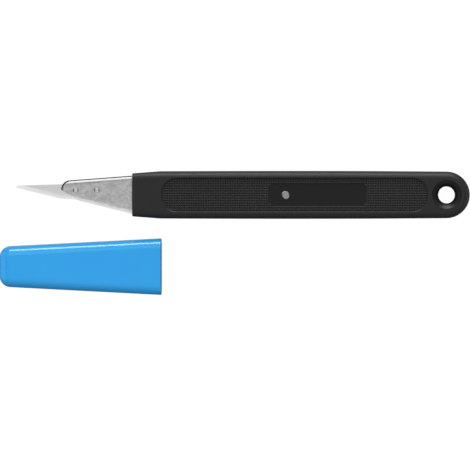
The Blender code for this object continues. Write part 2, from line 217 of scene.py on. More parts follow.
# Where each brightness begins and where it is full, as parts of a direction that points across, along or up
FAR_HALF = (-0.1, 0.1)
FAR_FLOOR_END = (0.45, 0.75)
NEAR_FLOOR_END = (-0.3, 0.8)
FAR_SIDE_SPAN = (0.05, 0.60)
NEAR_SIDE_SPAN = (-0.10, -0.35)
NEAR_SIDE_FOOT = (0.60, 0.85)
TENT_END = (0.70, 0.25)
WALL_SPAN = (0.70, 0.95)
RIGHT_FLOOR_END = (0.4, 0.0)
LOW_WALL_SPAN = (0.40, 0.65)
LOW_WALL_TOP = (0.75, 0.45)
GROUND = (-0.9, -0.1)


def paint_studio(world):
    world.use_nodes = True
    world.node_tree.nodes.clear()
    studio = Signal(world.node_tree)
    across, along, up = studio.node("ShaderNodeTexCoord", {}, {}, output="Generated").axes()
    is_far = along.rise(*FAR_HALF)
    far = is_far * (FAR_FLOOR + up.rise(*FAR_FLOOR_END) * (1 - FAR_FLOOR))
    near = (1 - is_far) * (NEAR_FLOOR + up.rise(*NEAR_FLOOR_END) * (1 - NEAR_FLOOR))
    far_side = along.rise(*FAR_SIDE_SPAN) * FAR_SIDE
    near_side = along.rise(*NEAR_SIDE_SPAN) * up.rise(*NEAR_SIDE_FOOT) * NEAR_SIDE
    tent = (OVERHEAD + far_side + near_side) * (far + near) * abs(across).rise(*TENT_END)
    left = (0 - across).rise(*WALL_SPAN) * LEFT_WALL
    right = across.rise(*WALL_SPAN) * (RIGHT_WALL + up.rise(*RIGHT_FLOOR_END) * RIGHT_FLOOR)
    low_walls = abs(across).rise(*LOW_WALL_SPAN) * up.rise(*LOW_WALL_TOP) * LOW_WALLS
    light = tent + (left + right + low_walls) * up.rise(*GROUND) + ROOM
    glow = studio.node("ShaderNodeBackground", {}, {"Strength": light})
    plain = studio.node("ShaderNodeBackground", {}, {"Color": BACKDROP})
    seen = studio.node("ShaderNodeLightPath", {}, {}, output="Is Camera Ray")
    both = studio.node("ShaderNodeMixShader", {}, {0: seen, 1: glow, 2: plain})
    studio.node("ShaderNodeOutputWorld", {}, {"Surface": both})


bpy.context.scene.world = bpy.data.worlds.new("studio")
paint_studio(bpy.context.scene.world)
print("world nodes:", len(bpy.context.scene.world.node_tree.nodes))

# %% [markdown]
# Four lamps do what the tent can't. A strip light low on the far side draws the bright line along the upper
# edge of the handle. A narrower one does the same for the cap, and a lower one brightens the fold of the
# blade carrier. The strips have to show in the shine and nowhere else, or the sides that face them would
# glow. Coloured plastic needs more light than the tent gives, because colour comes from inside a material
# and not from its shine. A soft lamp overhead adds it and is kept out of the reflections in turn. Any other
# piece would mirror a lamp as a glare, so each one will be kept to the piece that needs it.

# %% Hang the lamps
STRIP_DISTANCE = 2.78


def hang_lamp(name, place, width, height, power):
    """An area lamp that faces the knife."""
    data = bpy.data.lights.new(name, "AREA")
    data.shape = "RECTANGLE"
    data.size = width
    data.size_y = height
    data.energy = power
    lamp = bpy.data.objects.new(name, data)
    lamp.location = place
    lamp.rotation_euler = (-lamp.location).to_track_quat("-Z", "Y").to_euler()
    lamp.visible_camera = False
    bpy.context.scene.collection.objects.link(lamp)
    print(name, "of", power, "W")
    return lamp


def hang_strip(name, x, z, width, height, power):
    """A lamp on the far side that shows in the shine of a piece and doesn't light it."""
    strip = hang_lamp(name, (x, STRIP_DISTANCE, z), width, height, power)
    strip.visible_diffuse = False
    return strip


def light_only(lamp, piece):
    """Keeps the light of a lamp to one piece."""
    lit = bpy.data.collections.new(f"lit by {lamp.name}")
    lit.objects.link(piece)
    lamp.light_linking.receiver_collection = lit


handle_strip = hang_strip("handle_strip", x=0.1, z=1.12, width=1.5, height=1.4, power=62)
cap_strip = hang_strip("cap_strip", x=-0.43, z=0.84, width=0.34, height=0.80, power=23)
fold_strip = hang_strip("fold_strip", x=-0.2, z=0.55, width=0.6, height=0.9, power=6.8)
overhead_lamp = hang_lamp("overhead_lamp", place=(-0.45, 0.5, 1), width=0.7, height=0.7, power=6.0)
overhead_lamp.visible_glossy = False

# %% [markdown]
# ## Finishes
#
# Every finish reads the place on the piece, in metres, so its spots keep their real size. A UV map could
# place them too, but these pieces are solid and have no cloth or thread whose pattern follows the surface.
# One helper starts a finish from that place and another ends it with the shader, so that only the pattern
# is left to do.


# %% Start and end a finish
def new_finish(name):
    """A material with no nodes yet, and the place on the piece to build its nodes from."""
    material = bpy.data.materials.new(name)
    material.use_nodes = True
    material.node_tree.nodes.clear()
    place = Signal(material.node_tree).node("ShaderNodeTexCoord", {}, {}, output="Object")
    return material, place


def end_finish(place, sockets):
    """Ends a material with a Principled shader that has these sockets."""
    shader = place.node("ShaderNodeBsdfPrincipled", {}, sockets)
    place.node("ShaderNodeOutputMaterial", {}, {"Surface": shader})


print("finishes can be built")

# %% [markdown]
# The handle is a matt black moulding. Its broad faces have the fine even grain of a spark-eroded mould. The
# floor of the grip panel is grained more coarsely, which makes it duller, and it is painted darker than the
# face around it, a painted shade in the recess. The ridges on it get a painted highlight that makes them a
# little paler. The two can be told apart by how deep they lie. A material for each would do it too, but it
# would change at a hard line. The eye in the tail was formed by a polished pin, so it is smoother, and it is
# painted a deeper black up to the step around it, a painted shade inside the eye.

# %% Black moulding of the handle
PANEL_FRONT = 8.7 * MM
PANEL_REAR = HANDLE_SIZE.x - 12.6 * MM
PANEL_HALF = HANDLE_SIZE.y / 2 - 2.15 * MM
PANEL_DEPTH = 0.5 * MM
TAIL_HEIGHT = 13.84 * MM
EYE_SETBACK = HANDLE_SIZE.x - TAIL_HEIGHT / 2
EYE_STEP_RADIUS = 4.4 * MM
PIT_DEPTHS = (0.78 * PANEL_DEPTH, 0.96 * PANEL_DEPTH)
RIDGE_DEPTHS = (0.50 * PANEL_DEPTH, 0.62 * PANEL_DEPTH)
CLOUD_SIZE = 1.5 * MM
GRAIN_SIZE = 0.16 * MM
GRAIN_DEPTH = 0.012 * MM
BLACK = 0.0145
CLOUD_TONE = 0.004
# The next three numbers are painted light: shade in the pits, a highlight on the ridges and shade in the
# eye.
PIT_PAINTED_SHADE = 0.0135
RIDGE_PAINTED_HIGHLIGHT = 0.007
EYE_PAINTED_SHADE = 0.7
COOL_WHITE = (1, 1, 1.03)
MATT = 0.46
PIT_ROUGHNESS = 0.20
CLOUD_ROUGHNESS = 0.10
EYE_POLISH = 0.05


def black_moulding():
    material, place = new_finish("black_moulding")
    x, y, z = place.axes()
    middle = on_knife((PANEL_FRONT + PANEL_REAR) / 2)
    half_length = (PANEL_REAR - PANEL_FRONT) / 2
    face = HANDLE_SIZE.z / 2
    in_outline = abs(x - middle.x).rise(half_length, half_length - PANEL_DEPTH)
    in_outline = in_outline * abs(y - middle.y).rise(PANEL_HALF, PANEL_HALF - PANEL_DEPTH)
    depth = face - abs(z - middle.z)
    pits = in_outline * depth.rise(*PIT_DEPTHS)
    ridges = in_outline * depth.rise(*RIDGE_DEPTHS) - pits
    from_eye = (x - on_knife(EYE_SETBACK).x).diagonal(y - middle.y)
    painted_light_area = from_eye.rise(EYE_STEP_RADIUS, EYE_STEP_RADIUS - PANEL_DEPTH)
    cloud = place.grain(CLOUD_SIZE, detail=4.0)
    # The pits get painted shade, the ridges a painted highlight, and the eye is darkened as painted shade.
    tone = BLACK + cloud * CLOUD_TONE - pits * PIT_PAINTED_SHADE + ridges * RIDGE_PAINTED_HIGHLIGHT
    tone = tone * (1 - painted_light_area * EYE_PAINTED_SHADE)
    sockets = {
        "Base Color": tone.blend((0, 0, 0), COOL_WHITE),
        "Roughness": MATT + pits * PIT_ROUGHNESS + cloud * CLOUD_ROUGHNESS - painted_light_area * EYE_POLISH,
        "Specular IOR Level": 0.4,
        "Normal": place.grain(GRAIN_SIZE).bump(GRAIN_DEPTH),
    }
    end_finish(place, sockets)
    return material


BLACK_MOULDING = black_moulding()
print(BLACK_MOULDING.name, len(BLACK_MOULDING.node_tree.nodes), "nodes")

# %% [markdown]
# The cap is a glossy blue moulding. A tool with a polished cavity leaves it nearly smooth, with a very
# slight orange peel that softens the highlight, and the colour drifts a little along the way that the
# plastic flowed. One even blue would look flat, so noise that is drawn out lengthwise gives that drift.

# %% Blue moulding of the cap
DEEP_BLUE = (0.028, 0.375, 0.87)
PALE_BLUE = (0.033, 0.40, 0.91)
COOL_SHINE = (0.6, 1, 1, 1)
FLOW_SIZE = 9 * MM
FLOW_STRETCH = (4, 1, 1)
PEEL_SIZE = 1.4 * MM
PEEL_DEPTH = 0.002 * MM


def blue_moulding():
    material, place = new_finish("blue_moulding")
    sockets = {
        "Base Color": place.grain(FLOW_SIZE, stretch=FLOW_STRETCH).blend(DEEP_BLUE, PALE_BLUE),
        "Roughness": 0.24,
        "Specular Tint": COOL_SHINE,
        "Normal": place.grain(PEEL_SIZE, detail=1.0).bump(PEEL_DEPTH),
    }
    end_finish(place, sockets)
    return material


BLUE_MOULDING = blue_moulding()
print(BLUE_MOULDING.name, len(BLUE_MOULDING.node_tree.nodes), "nodes")

# %% [markdown]
# Steel shows how it was worked. The blade was ground, so its scratches run straight across, from spine to
# edge. The pin was cut from wire and hammered, which leaves small dents and no direction. A picture of
# brushed metal could be wrapped round each piece, but noise has no seams. One function builds all the
# steels from a pattern of spots. Those of the carrier and of its rivets follow later, with their shapes.

# %% Steel for the blade and the pin
SPOT_ROUGHNESS = 0.14
SCRATCH_WIDTH = 0.05 * MM
SCRATCH_STRETCH = (1, 60, 60)
SCRATCH_DEPTH = 0.0025 * MM
DENT_SIZE = 0.35 * MM
PIN_DENT_DEPTH = 0.012 * MM


def new_steel(name, dark, light, spots, roughness, bump):
    """A steel between two greys, patterned by these spots and rougher on the pale ones, with a bump."""
    material, place = new_finish(name)
    pattern = spots(place)
    sockets = {
        "Base Color": pattern.blend((dark,) * 3, (light,) * 3),
        "Metallic": 1.0,
        "Roughness": roughness + pattern * SPOT_ROUGHNESS,
        "Normal": bump(place),
    }
    end_finish(place, sockets)
    return material


def scratches(place):
    return place.grain(SCRATCH_WIDTH, stretch=SCRATCH_STRETCH, detail=3.0)


def dents(place):
    return place.grain(DENT_SIZE, detail=3.0)


def tooth(size, depth):
    """A fine bump that has no direction."""
    return lambda place: place.grain(size).bump(depth)


def grinding(place):
    return scratches(place).bump(SCRATCH_DEPTH)


dented = tooth(DENT_SIZE, PIN_DENT_DEPTH)
GROUND_STEEL = new_steel("ground_steel", 0.90, 0.98, spots=scratches, roughness=0.18, bump=grinding)
PIN_STEEL = new_steel("pin_steel", 0.30, 0.52, spots=dents, roughness=0.30, bump=dented)
print("steels:", [steel.name for steel in (GROUND_STEEL, PIN_STEEL)])

# %% [markdown]
# ## Floor
#
# The floor is a white light table. Most of its brightness is its own glow, so the shadows on it stay faint.
# A lamp under frosted glass could be modelled, but a surface that glows by itself does the same. The pieces
# neither mirror it nor take light from it, because it would put a pale hem on their rounded edges that the
# real ones don't show.

# %% Lay the floor
FLOOR_SIZE = 6
TABLE_GREY = (0.14, 0.14, 0.14, 1)
TABLE_GLOW = 0.96

bpy.ops.object.select_all(action="DESELECT")
bpy.ops.mesh.primitive_plane_add(size=FLOOR_SIZE)
floor = bpy.context.object
floor.name = "floor"
floor.visible_glossy = False
floor.visible_diffuse = False
white_table, table_place = new_finish("white_table")
table_sockets = {
    "Base Color": TABLE_GREY,
    "Roughness": 1.0,
    "Specular IOR Level": 0.0,
    "Emission Color": (1, 1, 1, 1),
    "Emission Strength": TABLE_GLOW,
}
end_finish(table_place, table_sockets)
floor.data.materials.append(white_table)
print("floor of", FLOOR_SIZE, "m")

# %% [markdown]
# ## Tools for modelling
#
# A script models as a person does: add a primitive, go into edit mode, select something, press a key. The
# selecting is done by asking each vertex, edge or face a question about its place or direction. The
# finished pieces all sit at the origin, with their place in their mesh.

# %% Helpers for edit mode
WELD = 0.0005 * MM
SMOOTH_BELOW = math.radians(32)


def clear_bench():
    """Leaves edit mode with nothing selected."""
    if bpy.context.mode != "OBJECT":
        bpy.ops.object.mode_set(mode="OBJECT")
    bpy.ops.object.select_all(action="DESELECT")


def begin(name):
    """Names the primitive that was just added, moves its place into its mesh and opens edit mode."""
    piece = bpy.context.object
    piece.name = piece.data.name = name
    bpy.ops.object.transform_apply(location=True, rotation=True, scale=True)
    bpy.ops.object.mode_set(mode="EDIT")
    bpy.ops.mesh.select_mode(type="VERT")
    bpy.ops.mesh.select_all(action="SELECT")
    return piece


def block(name, low, high):
    """A box between two corners, open in edit mode."""
    clear_bench()
    bpy.ops.mesh.primitive_cube_add(size=1, location=(low + high) / 2, scale=high - low)
    return begin(name)


def pick(piece, kind, wanted):
    """Selects the vertices, edges or faces of a piece in edit mode that answer yes, and nothing else."""
    bpy.ops.mesh.select_mode(type=kind)
    bpy.ops.mesh.select_all(action="DESELECT")
    mesh = bmesh.from_edit_mesh(piece.data)
    for item in {"VERT": mesh.verts, "EDGE": mesh.edges, "FACE": mesh.faces}[kind]:
        if wanted(item):
            item.select_set(True)
    bmesh.update_edit_mesh(piece.data)


def at(item, axis, value):
    """Whether all of an edge or face, or a vertex, lies at this value of x, y or z."""
    corners = getattr(item, "verts", [item])
    return all(abs(corner.co[axis] - value) < WELD for corner in corners)


def upright(edge):
    return at(edge, 0, edge.verts[0].co.x) and at(edge, 1, edge.verts[0].co.y)


def slice_off(point, outward):
    """Cuts away what lies on the outward side of a plane and closes the cut."""
    bpy.ops.mesh.select_all(action="SELECT")
    bpy.ops.mesh.bisect(plane_co=point, plane_no=outward, use_fill=True, clear_outer=True, threshold=WELD)


def weld():
    bpy.ops.mesh.select_all(action="SELECT")
    bpy.ops.mesh.remove_doubles(threshold=WELD)
    bpy.ops.mesh.normals_make_consistent(inside=False)


print("edges that meet at less than", round(math.degrees(SMOOTH_BELOW)), "degrees will be shaded smooth")

# %% [markdown]
# Whole pieces are finished with modifiers. Boolean cuts one shape out of another, as a cutter or a mould
# insert does, and Weighted Normal keeps a broad face flat in the shading where a narrow bevel meets it. The
# last helper gives a piece its finish and puts it in the place of its solid, on the same body, so it moves
# as the solid does.


# %% Helpers for whole pieces
def modify(piece, kind, **settings):
    """Leaves edit mode, adds a modifier to a piece and applies it."""
    clear_bench()
    bpy.context.view_layer.objects.active = piece
    modifier = piece.modifiers.new(kind, kind)
    for name, value in settings.items():
        setattr(modifier, name, value)
    bpy.ops.object.modifier_apply(modifier=modifier.name)


def combine(piece, tool, operation="DIFFERENCE"):
    """Cuts a tool out of a piece, joins it on, or keeps what they share. The tool is used up."""
    modify(piece, "BOOLEAN", object=tool, operation=operation, solver="EXACT")
    bpy.data.objects.remove(tool)


def finish(piece, material, body, node):
    """Shades a piece, gives it its finish and puts it in the place of its node."""
    clear_bench()
    piece.select_set(True)
    bpy.context.view_layer.objects.active = piece
    bpy.ops.object.shade_smooth_by_angle(angle=SMOOTH_BELOW)
    modify(piece, "WEIGHTED_NORMAL", keep_sharp=True)
    piece.data.materials.clear()
    piece.data.materials.append(material)
    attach(piece, body)
    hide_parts(node)
    triangles = sum(len(face.vertices) - 2 for face in piece.data.polygons)
    print(piece.name, "has", triangles, "triangles")


# %% [markdown]
# Round pieces are turned: half of the outline is drawn beside the axis, point by point, and spun once
# round. A cylinder or sphere could be pushed into shape too, but an outline is easier to read.

# %% A lathe
TURN_STEPS = 48


def turned(name, outline, centre):
    """A piece turned about an upright axis, from (radius, height) points down its outside."""
    clear_bench()
    bpy.ops.mesh.primitive_plane_add(size=MM, location=centre)
    piece = begin(name)
    bpy.ops.mesh.merge(type="CENTER")
    points = [Vector((radius, 0, height)) for radius, height in outline]
    bpy.ops.transform.translate(value=points[0])
    for before, after in zip(points, points[1:]):
        bpy.ops.mesh.extrude_vertices_move(TRANSFORM_OT_translate={"value": after - before})
    bpy.ops.mesh.select_all(action="SELECT")
    bpy.ops.mesh.spin(steps=TURN_STEPS, angle=2 * math.pi, center=centre, axis=(0, 0, 1))
    weld()
    return piece


def both_ends(upper):
    """An outline that is the same below the middle as above it."""
    return upper + [(radius, -height) for radius, height in reversed(upper)]


print("lathe with", TURN_STEPS, "steps")

# %% [markdown]
# ## Handle
#
# The handle is one moulding around the tang of the blade carrier. Seen from above it swells very slightly
# in the middle, its tail is a half circle, and its nose narrows so that the cap can grip it. It starts as a
# box. Loops are cut across it and scaled to the swell, the tail comes from rounding the two rear corners
# until they meet, and the long edges are rounded last, so that their radius is the same all the way round.

# %% Model the body of the handle
NOSE_LENGTH = 8.4 * MM
NOSE_HEIGHT = 12.8 * MM
NOSE_THICKNESS = 6.2 * MM
SHOULDER_HEIGHT = 14.06 * MM
EDGE_RADIUS = 2.1 * MM
NOSE_CORNER_RADIUS = 1.5 * MM
NOSE_EDGE_RADIUS = 0.3 * MM
SWELL_LOOPS = 14
TAIL_STEPS = 28
EDGE_STEPS = 9
FINE_STEPS = 3
SEAM_HEIGHT = 0.03 * MM
BODY_LOW = HANDLE_LOW + Vector((0, SEAM_HEIGHT, 0))
BODY_HIGH = HANDLE_HIGH - Vector((SEAM_HEIGHT, SEAM_HEIGHT, 0))


def swell(x):
    """Height of the handle behind its nose, highest midway."""
    middle = (NOSE_LENGTH + EYE_SETBACK) / 2
    share = (x - middle) / (EYE_SETBACK - middle)
    end = SHOULDER_HEIGHT if share < 0 else TAIL_HEIGHT
    highest = BODY_HIGH.y - BODY_LOW.y
    return highest + (end - highest) * share**2


def set_height(piece, height):
    """Scales what is selected about the knife's axis until it is this high in the picture."""
    chosen = [vert.co.y for vert in bmesh.from_edit_mesh(piece.data).verts if vert.select]
    share = height / (max(chosen) - min(chosen))
    bpy.ops.transform.resize(value=(1, share, 1), center_override=AXIS)


def sharpen_corner(piece, corner):
    """Shrinks one rounded corner of the front face towards the place where its sides would meet."""
    reach = EDGE_RADIUS + 2 * WELD
    pick(piece, "VERT", lambda vert: max(abs(side) for side in vert.co - corner) < reach)
    share = NOSE_CORNER_RADIUS / EDGE_RADIUS
    bpy.ops.transform.resize(value=(1, share, share), center_override=corner)


def handle_body():
    piece = block("moulded_handle", BODY_LOW, BODY_HIGH)
    pick(piece, "VERT", lambda vert: at(vert, 0, BODY_HIGH.x))
    set_height(piece, TAIL_HEIGHT)
    pick(piece, "EDGE", lambda edge: at(edge, 0, BODY_HIGH.x) and upright(edge))
    bpy.ops.mesh.bevel(offset=TAIL_HEIGHT / 2, segments=TAIL_STEPS, affect="EDGES", clamp_overlap=False)
    weld()
    for step in range(SWELL_LOOPS):
        x = NOSE_LENGTH + (EYE_SETBACK - NOSE_LENGTH) * step / SWELL_LOOPS
        bpy.ops.mesh.select_all(action="SELECT")
        bpy.ops.mesh.bisect(plane_co=on_knife(x), plane_no=(1, 0, 0), threshold=WELD)
        set_height(piece, swell(x))
    pick(piece, "VERT", lambda vert: at(vert, 0, HANDLE_LOW.x))
    set_height(piece, NOSE_HEIGHT)
    bpy.ops.transform.resize(value=(1, 1, NOSE_THICKNESS / HANDLE_SIZE.z), center_override=AXIS)

    def long_edge(edge):
        corner = edge.calc_face_angle(0) > math.pi / 4
        return corner and not upright(edge) and not at(edge, 0, HANDLE_LOW.x)

    pick(piece, "EDGE", long_edge)
    bpy.ops.mesh.bevel(offset=EDGE_RADIUS, segments=EDGE_STEPS, affect="EDGES")
    for y in (NOSE_HEIGHT / 2, -NOSE_HEIGHT / 2):
        for z in (NOSE_THICKNESS / 2, -NOSE_THICKNESS / 2):
            sharpen_corner(piece, on_knife(0, y, z))
    pick(piece, "EDGE", lambda edge: at(edge, 0, HANDLE_LOW.x))
    bpy.ops.mesh.bevel(offset=NOSE_EDGE_RADIUS, segments=FINE_STEPS, affect="EDGES")
    return piece


handle = handle_body()
print("handle body:", len(bmesh.from_edit_mesh(handle.data).faces), "faces")

# %% [markdown]
# The two halves of the mould meet along the middle of the handle's sides. However well they close, a thin
# line of plastic stands proud there. Two cuts just above and below the middle leave a narrow band, and
# pushing that band out along its own normals makes the line. A bump in the finish could draw it too, but it
# wouldn't show at the outline.

# %% Raise the parting line
SEAM_HALF_WIDTH = 0.05 * MM

for side in (1, -1):
    bpy.ops.mesh.select_all(action="SELECT")
    bpy.ops.mesh.bisect(plane_co=on_knife(0, 0, side * SEAM_HALF_WIDTH), plane_no=(0, 0, 1), threshold=WELD)


def in_seam(face):
    on_side = all(abs(vert.co.z - AXIS.z) < SEAM_HALF_WIDTH + WELD for vert in face.verts)
    return on_side and face.calc_center_median().x > HANDLE_LOW.x + NOSE_EDGE_RADIUS


pick(handle, "FACE", in_seam)
bpy.ops.mesh.extrude_region_shrink_fatten(TRANSFORM_OT_shrink_fatten={"value": SEAM_HEIGHT})
print("parting line raised by", SEAM_HEIGHT / MM, "mm")

# %% [markdown]
# A hole for a hook or a cord goes through the tail. A small step surrounds it on each face, and inside the
# step the wall curves down to the hole, so a cord isn't cut. The hole is turned on the lathe as a solid and
# cut out. Bevelling the rim of a plain hole would be shorter, but a bevel has no step, and it runs into the
# loops of the body.

# %% Cut the hang eye
EYE_RADIUS = 2.525 * MM
EYE_STEP_DEPTH = 0.35 * MM
EYE_STEP_SLOPE = math.radians(62)
EYE_LIP_SLOPE = math.radians(24)
EYE_THROAT_SLOPE = math.radians(62)
EYE_STEPS = 12
CUT_MARGIN = 1.0 * MM


def eye_tool():
    face = HANDLE_SIZE.z / 2
    run = 1 / math.tan(EYE_STEP_SLOPE)
    lip = EYE_STEP_RADIUS - EYE_STEP_DEPTH * run
    curve = (lip - EYE_RADIUS) / (math.sin(EYE_THROAT_SLOPE) - math.sin(EYE_LIP_SLOPE))
    upper = [(0, face + CUT_MARGIN), (EYE_STEP_RADIUS + CUT_MARGIN * run, face + CUT_MARGIN)]
    for step in range(EYE_STEPS + 1):
        turn = EYE_LIP_SLOPE + (EYE_THROAT_SLOPE - EYE_LIP_SLOPE) * step / EYE_STEPS
        drop = EYE_STEP_DEPTH + curve * (math.cos(EYE_LIP_SLOPE) - math.cos(turn))
        upper.append((lip - curve * (math.sin(turn) - math.sin(EYE_LIP_SLOPE)), face - drop))
    return turned("eye_tool", both_ends(upper), on_knife(EYE_SETBACK))


combine(handle, eye_tool())
print("hang eye of", round(2 * EYE_RADIUS / MM, 2), "mm")

# %% [markdown]
# ## Grip panels
#
# Each broad face has a shallow recess with a crosshatch of fine ridges, about 0.7 mm apart, and a plain
# field in the middle of it. In the real mould this is the work of a steel insert, and it can be made the
# same way here: model the insert, then cut it out of the handle. The insert starts as a grid with one
# square for each pit. Insetting every square by itself leaves the ridges standing between the pits. The
# squares of the plain field are inset as one region.

# %% Model the mould insert
GRIP_PITCH = 0.722 * MM
GRIP_COLUMNS = 114
GRIP_ROWS = 16
RIDGE_TOP = 0.16 * MM
RIDGE_FLANK = 0.16 * MM
RIDGE_HEIGHT = 0.16 * MM
FIELD_FRONT = 40.1 * MM
FIELD_COLUMNS = 41
FIELD_ROWS = 10
FIELD_CORNER = 3 * GRIP_PITCH


def insert_blank():
    """The grid with its pits, closed to a solid that reaches out of the handle's face."""
    clear_bench()
    floor_height = HANDLE_SIZE.z / 2 - PANEL_DEPTH
    centre = on_knife((PANEL_FRONT + PANEL_REAR) / 2, 0, floor_height + RIDGE_HEIGHT)
    size = (GRIP_COLUMNS * GRIP_PITCH, GRIP_ROWS * GRIP_PITCH, 1)
    bpy.ops.mesh.primitive_grid_add(
        x_subdivisions=GRIP_COLUMNS, y_subdivisions=GRIP_ROWS, size=1, location=centre
    )
    tool = begin("grip_insert")
    bpy.ops.transform.resize(value=size, center_override=centre)
    first_column = round((AXIS.x + FIELD_FRONT - centre.x + size[0] / 2) / GRIP_PITCH)
    field_middle = centre.x - size[0] / 2 + (first_column + FIELD_COLUMNS / 2) * GRIP_PITCH

    def in_field(face):
        middle = face.calc_center_median()
        past_x = abs(middle.x - field_middle) - (FIELD_COLUMNS * GRIP_PITCH / 2 - FIELD_CORNER)
        past_y = abs(middle.y - AXIS.y) - (FIELD_ROWS * GRIP_PITCH / 2 - FIELD_CORNER)
        return math.hypot(max(past_x, 0), max(past_y, 0)) < FIELD_CORNER

    def press(one_by_one):
        bpy.ops.mesh.inset(thickness=RIDGE_TOP / 2, use_individual=one_by_one)
        bpy.ops.mesh.inset(thickness=RIDGE_FLANK, depth=-RIDGE_HEIGHT, use_individual=one_by_one)

    pick(tool, "FACE", lambda face: not in_field(face))
    press(one_by_one=True)
    pick(tool, "FACE", in_field)
    press(one_by_one=False)
    bpy.ops.mesh.dissolve_faces()
    pick(tool, "EDGE", lambda edge: edge.is_boundary)
    bpy.ops.mesh.extrude_region_move(TRANSFORM_OT_translate={"value": (0, 0, PANEL_DEPTH + CUT_MARGIN)})
    bpy.ops.mesh.edge_face_add()
    weld()
    return tool


upper_insert = insert_blank()
print("mould insert:", len(bmesh.from_edit_mesh(upper_insert.data).faces), "faces")

# %% [markdown]
# The recess has rounded corners and a chamfered rim, and it widens from its floor to the face, because a
# mould has to let go of what it made. A block gets that outline: its upright edges are bevelled, and its
# upper face is extruded step by step and widened each time. What the insert and the block share is the tool
# for the cut.

# %% Trim the insert to the outline of the recess
PANEL_CORNER = 4.7 * MM
PANEL_WALL_SLOPE = math.radians(70)
PANEL_CHAMFER = 0.18 * MM
PANEL_CHAMFER_SLOPE = math.radians(38)
PANEL_STEPS = 10
FLOOR_OVERLAP = 0.02 * MM


def wall_outline():
    """The recess's wall and chamfer as (outwards, upwards) points, from the floor to past the face."""
    wall = PANEL_DEPTH + FLOOR_OVERLAP - PANEL_CHAMFER
    chamfer = PANEL_CHAMFER + FLOOR_OVERLAP
    foot = wall / math.tan(PANEL_WALL_SLOPE)
    rim = foot + chamfer / math.tan(PANEL_CHAMFER_SLOPE)
    return [(foot, wall), (rim, wall + chamfer), (rim, wall + CUT_MARGIN)]


def panel_block():
    """The outline of the recess as a block with round corners that widens from the floor to the face."""
    floor_height = HANDLE_SIZE.z / 2 - PANEL_DEPTH - FLOOR_OVERLAP
    wall = wall_outline()
    inset = wall[-1][0] / 2
    low = on_knife(PANEL_FRONT + inset, inset - PANEL_HALF, floor_height - CUT_MARGIN)
    high = on_knife(PANEL_REAR - inset, PANEL_HALF - inset, floor_height)
    piece = block("panel_block", low, high)
    pick(piece, "EDGE", upright)
    bpy.ops.mesh.bevel(offset=PANEL_CORNER - inset, segments=PANEL_STEPS, affect="EDGES")
    pick(piece, "FACE", lambda face: at(face, 2, high.z))
    size, centre = high - low, (low + high) / 2
    before = (0, 0)
    for after in wall:
        bpy.ops.mesh.extrude_region_move(TRANSFORM_OT_translate={"value": (0, 0, after[1] - before[1])})
        wider = [(side + 2 * after[0]) / (side + 2 * before[0]) for side in size]
        bpy.ops.transform.resize(value=(wider[0], wider[1], 1), center_override=centre)
        before = after
    return piece


combine(upper_insert, panel_block(), "INTERSECT")
print("trimmed insert:", len(upper_insert.data.polygons), "faces")

# %% [markdown]
# The other face has the same recess, so the insert is copied and turned half round the knife's axis.
# Turning it, instead of mirroring it, keeps its faces pointing outwards. The tang and the pin that holds it
# need room inside the handle too, and are cut out in the same way.

# %% Cut the panels, the slot and the pin's hole
TANG_HEIGHT = 8.0 * MM
TANG_THICKNESS = 1.3 * MM
TANG_CLEARANCE = 0.1 * MM
TANG_CORNER = 1.5 * MM
CARRIER_LOW, CARRIER_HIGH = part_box("blade_carrier")
PIN_LOW, PIN_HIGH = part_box("tang_rivet")
PIN_CENTRE = (PIN_LOW + PIN_HIGH) / 2
PIN_SIZE = PIN_HIGH - PIN_LOW
PIN_CLEARANCE = 0.06 * MM


def turned_over(tool):
    """A copy of a tool, turned half round the knife's axis."""
    copy = tool.copy()
    copy.data = tool.data.copy()
    bpy.context.scene.collection.objects.link(copy)
    clear_bench()
    copy.select_set(True)
    bpy.context.view_layer.objects.active = copy
    bpy.ops.object.mode_set(mode="EDIT")
    bpy.ops.mesh.select_all(action="SELECT")
    bpy.ops.transform.rotate(value=math.pi, orient_axis="X", center_override=AXIS)
    return copy


def tang(name, clearance):
    """The flat tang behind the carrier's head or, with a clearance, the slot that it sits in."""
    half = Vector((0, TANG_HEIGHT / 2 + clearance, TANG_THICKNESS / 2 + clearance))
    front = on_knife(-CUT_MARGIN)
    rear = Vector((CARRIER_HIGH.x + clearance, AXIS.y, AXIS.z))
    piece = block(name, front - half, rear + half)
    pick(piece, "EDGE", lambda edge: at(edge, 0, rear.x) and upright(edge))
    bpy.ops.mesh.bevel(offset=TANG_CORNER + clearance, segments=EDGE_STEPS, affect="EDGES")
    return piece


def hole_tool(centre, radius, depth):
    return turned("hole_tool", both_ends([(0, depth / 2), (radius, depth / 2)]), centre)


lower_insert = turned_over(upper_insert)
combine(handle, upper_insert)
combine(handle, lower_insert)
combine(handle, tang("tang_slot", TANG_CLEARANCE))
combine(handle, hole_tool(PIN_CENTRE, PIN_SIZE.x / 2 + PIN_CLEARANCE, HANDLE_SIZE.z))
finish(handle, BLACK_MOULDING, "knife", "handle")
light_only(handle_strip, handle)

# %% [markdown]
# ## Blade carrier
#
# The carrier is one piece of sheet, folded along its back and open along its lower edge, with the blade
# between its leaves. Outside it is a wedge with straight sides, so a box is sliced down to it plane by
# plane. The front corner is rounded, and then the fold is rounded along the back and round that corner in
# one go. The lower edges are thinned by two more slices, because they were ground flat and not bent.

